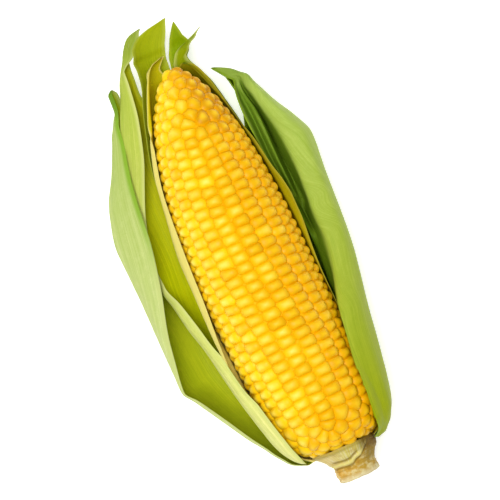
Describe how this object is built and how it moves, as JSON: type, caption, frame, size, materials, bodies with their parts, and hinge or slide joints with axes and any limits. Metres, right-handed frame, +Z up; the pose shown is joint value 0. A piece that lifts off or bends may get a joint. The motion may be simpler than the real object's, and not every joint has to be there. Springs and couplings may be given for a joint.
{
  "type": "corn cob",
  "caption": "Ear of sweet corn lying down, its green husk leaves peeled open round rows of plump yellow kernels, with a cut stem stub.",
  "frame": {"origin": "on the surface that the ear lies on, under the centre of the bounding box", "axes": "+Y along the ear from the cut stem to the tip, +Z up through the open front of the husk, +X to the right seen from above with the tip away"},
  "size_m": [0.0943, 0.2086, 0.0549],
  "materials": {
    "kernels": "smooth, moist yellow seed skin",
    "stem": "fibrous, cream to tan",
    "husk_pale": "satin, pale green, ribbed lengthwise",
    "husk_cream": "satin, cream to yellow-green",
    "husk_olive": "satin, olive green, ribbed lengthwise",
    "husk_dark": "satin, dark green",
    "husk_green": "satin, fresh green, ribbed lengthwise"
  },
  "bodies": {
    "root": {"ear": "kernels", "stem": "stem", "husk_left_outer": "husk_pale", "husk_left_second": "husk_pale", "husk_left_inner": "husk_cream", "husk_back_left": "husk_olive", "husk_back_middle": "husk_olive", "husk_back_right": "husk_olive", "husk_right_inner": "husk_dark", "husk_right_outer": "husk_green"}
  },
  "joints": []
}
